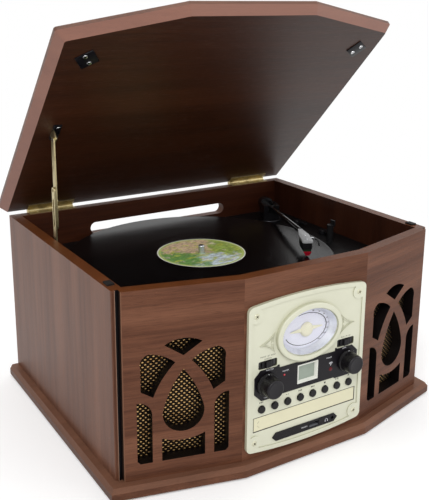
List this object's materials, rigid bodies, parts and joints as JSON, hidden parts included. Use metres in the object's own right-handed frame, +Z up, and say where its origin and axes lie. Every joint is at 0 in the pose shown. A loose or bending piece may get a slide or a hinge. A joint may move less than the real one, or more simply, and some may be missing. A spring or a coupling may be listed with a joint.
{
  "type": "stereo music centre",
  "caption": "Tabletop stereo music centre in a wooden cabinet with a hinged lid, record deck and tonearm, tuner dial, disc drawer, knobs and two grilled loudspeakers.",
  "frame": {"origin": "on the floor under the middle of the whole part's box, with the lid open", "axes": "+X to the listener's right, +Y to the back, +Z up; the controls face -Y"},
  "size_m": [0.406, 0.3474, 0.4475],
  "materials": {
    "walnut": "satin veneer",
    "black_gloss": "gloss",
    "black_matt": "fine texture",
    "foot_rubber": "matt",
    "pine_batten": "sawn",
    "grille_metal": "punched and painted",
    "speaker_cone": "paper and plastic",
    "cream": "satin moulding",
    "screw_steel": "satin",
    "display_grey": "display behind its frame",
    "clear_lens": "clear",
    "brass": "satin",
    "bright_steel": "satin",
    "case_metal": "plated sheet",
    "circuit_board": "lacquered board",
    "transformer_iron": "varnished laminations",
    "platter_metal": "turned",
    "mat_rubber": "ribbed",
    "vinyl": "grooved",
    "belt_rubber": "matt",
    "arm_metal": "satin",
    "stylus_red": "gloss",
    "plinth_walnut": "satin veneer"
  },
  "bodies": {
    "cabinet": {"base_plinth": "plinth_walnut", "feet": "foot_rubber", "left_side_panel": "walnut", "right_side_panel": "walnut", "corner_strips": "black_gloss", "front_left_board": "walnut", "front_right_board": "walnut", "front_centre_board": "walnut", "back_panel": "walnut", "deck_battens": "pine_batten", "grille_meshes": "grille_metal", "speakers": "speaker_cone", "control_fascia": "cream", "fascia_screws": "screw_steel", "knob_band": "black_gloss", "display_window": "display_grey", "dial_lens": "clear_lens", "port_strip": "black_gloss", "cd_mechanism": "case_metal", "cabinet_hinge_leaves": "brass", "lid_bumpers": "foot_rubber", "stay_wall_bracket": "brass", "deck_plate": "black_matt", "platter_motor": "case_metal", "drive_belt": "belt_rubber", "tonearm_base": "bright_steel", "tonearm_rest": "black_matt", "main_board": "circuit_board", "power_transformer": "transformer_iron", "rear_terminal_plate": "black_matt"},
    "lid": {"lid_panel": "walnut", "lid_hinge_leaves": "brass", "lid_strike_plates": "black_gloss", "stay_lid_bracket": "brass"},
    "stay_upper": {"stay_upper_arm": "brass"},
    "stay_lower": {"stay_lower_arm": "brass"},
    "turntable": {"platter": "platter_metal", "platter_mat": "mat_rubber", "record": "vinyl"},
    "pulley": {"motor_pulley": "bright_steel"},
    "arm_swivel": {"arm_housing": "black_matt"},
    "arm": {"arm_tube": "arm_metal", "headshell": "black_matt", "stylus": "stylus_red"},
    "cue_lever": {"cue_lever": "black_matt"},
    "speed_lever": {"speed_lever": "black_matt"},
    "volume_knob": {"volume_knob": "black_gloss"},
    "tuning_knob": {"tuning_knob": "black_gloss"},
    "dial_pointer": {"dial_pointer": "cream"},
    "function_switch": {"function_switch": "black_gloss"},
    "band_switch": {"band_switch": "black_gloss"},
    "cd_tray": {"cd_tray": "black_gloss"},
    "push_button_1": {"push_button_1": "black_gloss"},
    "push_button_2": {"push_button_2": "black_gloss"},
    "push_button_3": {"push_button_3": "black_gloss"},
    "push_button_4": {"push_button_4": "black_gloss"},
    "push_button_5": {"push_button_5": "black_gloss"},
    "push_button_6": {"push_button_6": "black_gloss"},
    "push_button_7": {"push_button_7": "black_gloss"},
    "push_button_8": {"push_button_8": "black_gloss"}
  },
  "joints": [
    {"name": "lid_hinge", "type": "hinge", "parent": "cabinet", "child": "lid", "pos_m": [0, 0.16613, 0.203], "axis": [-1, 0, 0], "range_deg": [-45.6, 0]},
    {"name": "stay_upper_fold", "type": "hinge", "parent": "lid", "child": "stay_upper", "pos_m": [-0.1774, 0.05125, 0.30745], "axis": [-1, 0, 0], "range_deg": [-33.41, 0.05]},
    {"name": "stay_lower_fold", "type": "hinge", "parent": "cabinet", "child": "stay_lower", "pos_m": [-0.1793, 0.05063, 0.192], "axis": [-1, 0, 0], "range_deg": [-0.05, 113.74]},
    {"name": "platter_spin", "type": "hinge", "parent": "cabinet", "child": "turntable", "pos_m": [-0.0215, 0.01243, 0.1632], "axis": [0, 0, -1], "continuous": true},
    {"name": "pulley_spin", "type": "hinge", "parent": "cabinet", "child": "pulley", "pos_m": [-0.10014, -0.04263, 0.1627], "axis": [0, 0, -1], "continuous": true},
    {"name": "arm_swing", "type": "hinge", "parent": "cabinet", "child": "arm_swivel", "pos_m": [0.143, 0.10963, 0.1795], "axis": [0, 0, 1], "range_deg": [-20, 24]},
    {"name": "arm_lift", "type": "hinge", "parent": "arm_swivel", "child": "arm", "pos_m": [0.143, 0.10963, 0.1795], "axis": [-0.9336, 0.3584, 0], "range_deg": [0, 8]},
    {"name": "cue_turn", "type": "hinge", "parent": "cabinet", "child": "cue_lever", "pos_m": [0.164, 0.02363, 0.1608], "axis": [0, 0, -1], "range_deg": [0, 60]},
    {"name": "speed_turn", "type": "hinge", "parent": "cabinet", "child": "speed_lever", "pos_m": [0.164, 0.07563, 0.1608], "axis": [0, 0, -1], "range_deg": [-25, 25]},
    {"name": "volume_turn", "type": "hinge", "parent": "cabinet", "child": "volume_knob", "pos_m": [-0.05, -0.15677, 0.0915], "axis": [0, 1, 0], "range_deg": [-135, 135]},
    {"name": "tuning_turn", "type": "hinge", "parent": "cabinet", "child": "tuning_knob", "pos_m": [0.05, -0.15677, 0.0915], "axis": [0, 1, 0], "range_deg": [-135, 135]},
    {"name": "pointer_turn", "type": "hinge", "parent": "cabinet", "child": "dial_pointer", "pos_m": [0, -0.15677, 0.135], "axis": [0, 1, 0], "range_deg": [-68, 68]},
    {"name": "function_slide", "type": "slide", "parent": "cabinet", "child": "function_switch", "axis": [1, 0, 0], "range_m": [-0.004, 0.004]},
    {"name": "band_slide", "type": "slide", "parent": "cabinet", "child": "band_switch", "axis": [1, 0, 0], "range_m": [-0.004, 0.004]},
    {"name": "tray_slide", "type": "slide", "parent": "cabinet", "child": "cd_tray", "axis": [0, -1, 0], "range_m": [0, 0.118]},
    {"name": "button_1_press", "type": "slide", "parent": "cabinet", "child": "push_button_1", "axis": [0, 1, 0], "range_m": [0, 0.001], "stiffness_N_per_m": 300, "springref_m": -0.001},
    {"name": "button_2_press", "type": "slide", "parent": "cabinet", "child": "push_button_2", "axis": [0, 1, 0], "range_m": [0, 0.001], "stiffness_N_per_m": 300, "springref_m": -0.001},
    {"name": "button_3_press", "type": "slide", "parent": "cabinet", "child": "push_button_3", "axis": [0, 1, 0], "range_m": [0, 0.001], "stiffness_N_per_m": 300, "springref_m": -0.001},
    {"name": "button_4_press", "type": "slide", "parent": "cabinet", "child": "push_button_4", "axis": [0, 1, 0], "range_m": [0, 0.001], "stiffness_N_per_m": 300, "springref_m": -0.001},
    {"name": "button_5_press", "type": "slide", "parent": "cabinet", "child": "push_button_5", "axis": [0, 1, 0], "range_m": [0, 0.001], "stiffness_N_per_m": 300, "springref_m": -0.001},
    {"name": "button_6_press", "type": "slide", "parent": "cabinet", "child": "push_button_6", "axis": [0, 1, 0], "range_m": [0, 0.001], "stiffness_N_per_m": 300, "springref_m": -0.001},
    {"name": "button_7_press", "type": "slide", "parent": "cabinet", "child": "push_button_7", "axis": [0, 1, 0], "range_m": [0, 0.001], "stiffness_N_per_m": 300, "springref_m": -0.001},
    {"name": "button_8_press", "type": "slide", "parent": "cabinet", "child": "push_button_8", "axis": [0, 1, 0], "range_m": [0, 0.001], "stiffness_N_per_m": 300, "springref_m": -0.001}
  ],
  "couplings": [
    {"joint": "stay_upper_fold", "follows": "lid_hinge", "ratio": 0.7316},
    {"joint": "stay_lower_fold", "follows": "lid_hinge", "ratio": -2.4932},
    {"joint": "pulley_spin", "follows": "platter_spin", "ratio": 13.667},
    {"joint": "cue_turn", "follows": "arm_lift", "ratio": 7.5},
    {"joint": "pointer_turn", "follows": "tuning_turn", "ratio": 0.5}
  ]
}
